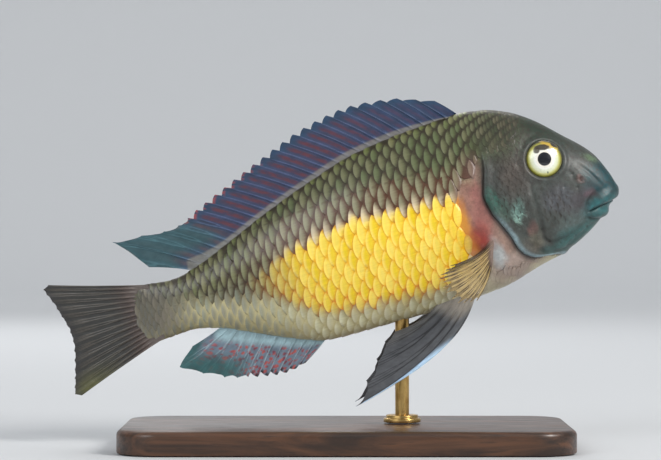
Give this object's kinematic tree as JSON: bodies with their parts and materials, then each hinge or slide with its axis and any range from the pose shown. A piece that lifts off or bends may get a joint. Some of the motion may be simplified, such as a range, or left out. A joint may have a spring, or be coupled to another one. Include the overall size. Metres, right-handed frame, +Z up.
{
  "type": "tropheus cichlid display model",
  "caption": "Still, life-size model of a deep-bodied African lake cichlid swimming nose up, held over a flat base by one short rod.",
  "frame": {"origin": "centre of the underside of the stand's base", "axes": "+X towards the fish's head, +Y towards the fish's left side, +Z up"},
  "size_m": [0.1244, 0.052, 0.0747],
  "materials": {
    "head_skin": "grey-brown skin with green and teal tints, satin and slightly wet",
    "body_skin": "scaled skin, olive brown on the back, bright yellow on the flank, grey to the rear",
    "eye": "clear gloss over a pale iris and a dark pupil",
    "median_fin": "thin lavender membrane with dark red marks along its rays",
    "tail_fin": "thin dark grey-brown membrane with fine rays",
    "paired_fin": "thin dark membrane with darker rays",
    "stand_wood": "dark stained wood, satin",
    "stand_metal": "satin brass"
  },
  "bodies": {
    "root": {"head": "head_skin", "trunk": "body_skin", "tail_base": "body_skin", "eye_left": "eye", "eye_right": "eye", "dorsal_fin": "median_fin", "anal_fin": "median_fin", "tail_fin": "tail_fin", "pelvic_fin_left": "paired_fin", "pelvic_fin_right": "paired_fin", "pectoral_fin_left": "paired_fin", "pectoral_fin_right": "paired_fin", "stand_base": "stand_wood", "stand_rod": "stand_metal", "stand_collar": "stand_metal"}
  },
  "joints": []
}
